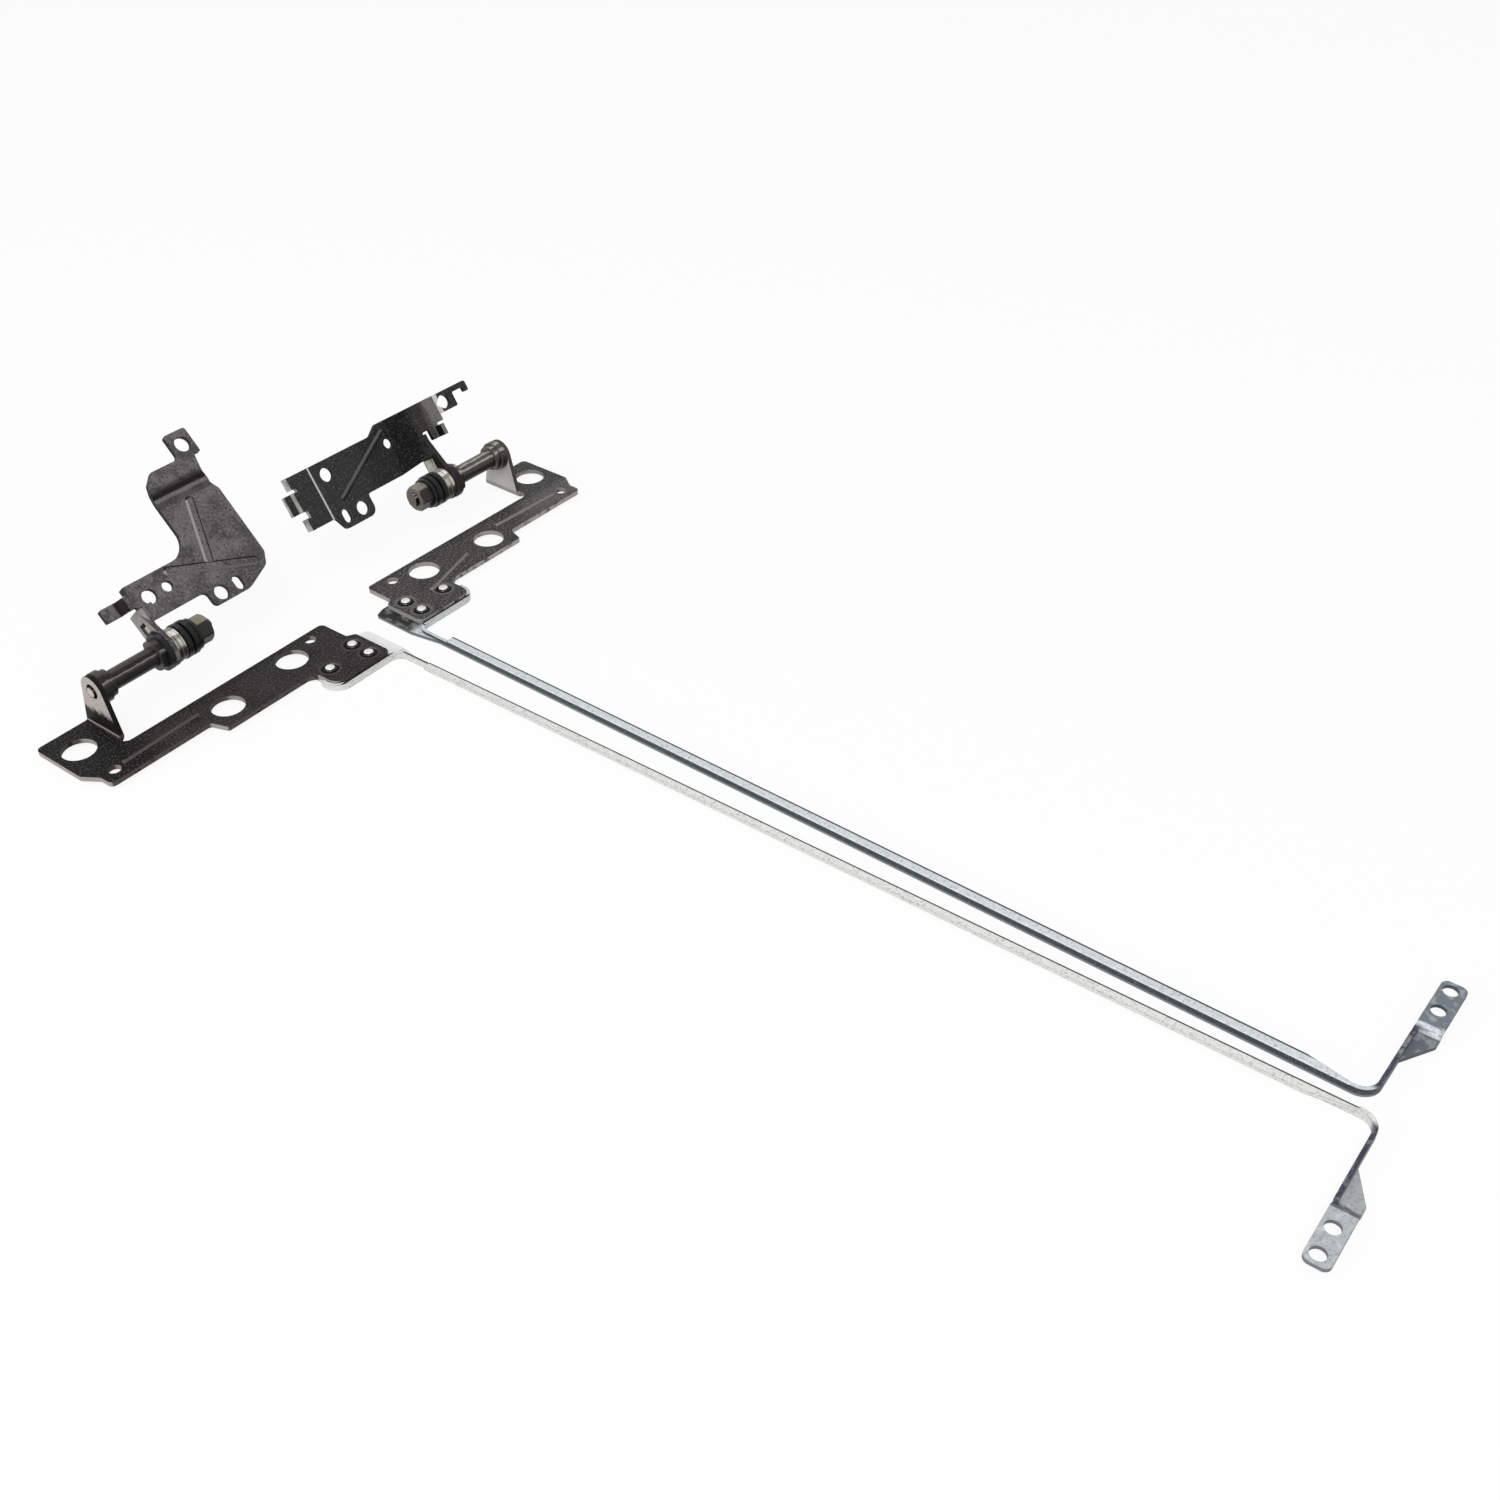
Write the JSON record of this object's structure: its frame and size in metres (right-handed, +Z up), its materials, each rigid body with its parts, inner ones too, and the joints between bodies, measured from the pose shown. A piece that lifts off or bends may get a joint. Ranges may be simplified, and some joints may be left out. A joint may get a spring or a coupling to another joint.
{
  "type": "laptop hinge pair",
  "caption": "Left and right friction hinges for a laptop lid, each a lid plate with a long display rail, a shaft with disc springs and nut, and a formed base bracket.",
  "frame": {"origin": "middle of the pair's bounding box, on the table it lies on", "axes": "+X to the right hinge along the shafts, +Y from the rails to the base brackets, +Z up"},
  "size_m": [0.1336, 0.2554, 0.0367],
  "materials": {
    "plate_black": "satin black",
    "bracket_grey": "satin grey",
    "bracket_black": "satin black",
    "rail_zinc": "zinc plated",
    "rivet_bright": "bright",
    "shaft_steel": "dark oiled",
    "washer_silver": "satin",
    "stack_black": "oiled black",
    "nut_bronze": "plated"
  },
  "bodies": {
    "lid_side": {"left_disc_spring_1": "stack_black", "left_disc_spring_2": "stack_black", "left_disc_spring_3": "stack_black", "left_disc_spring_4": "stack_black", "left_display_rail": "rail_zinc", "left_end_washer": "stack_black", "left_friction_washer": "washer_silver", "left_hinge_shaft": "shaft_steel", "left_lid_plate": "plate_black", "left_lock_nut": "nut_bronze", "left_outer_washer": "stack_black", "left_rail_rivets": "rivet_bright", "right_disc_spring_1": "stack_black", "right_disc_spring_2": "stack_black", "right_disc_spring_3": "stack_black", "right_disc_spring_4": "stack_black", "right_display_rail": "rail_zinc", "right_end_washer": "stack_black", "right_friction_washer": "washer_silver", "right_hinge_shaft": "shaft_steel", "right_lid_plate": "plate_black", "right_lock_nut": "nut_bronze", "right_outer_washer": "stack_black", "right_rail_rivets": "rivet_bright"},
    "left_base": {"left_base_bracket": "bracket_grey", "left_keyed_washer": "washer_silver"},
    "right_base": {"right_base_bracket": "bracket_black", "right_keyed_washer": "washer_silver"}
  },
  "joints": [
    {"name": "left_hinge", "type": "hinge", "parent": "lid_side", "child": "left_base", "pos_m": [-0.03857, 0.10211, 0.0104], "axis": [0.9999, 0.0108, 0], "range_deg": [-46, 134]},
    {"name": "right_hinge", "type": "hinge", "parent": "lid_side", "child": "right_base", "pos_m": [0.03857, 0.10483, 0.0104], "axis": [0.9999, -0.0108, 0], "range_deg": [-59, 121]}
  ]
}
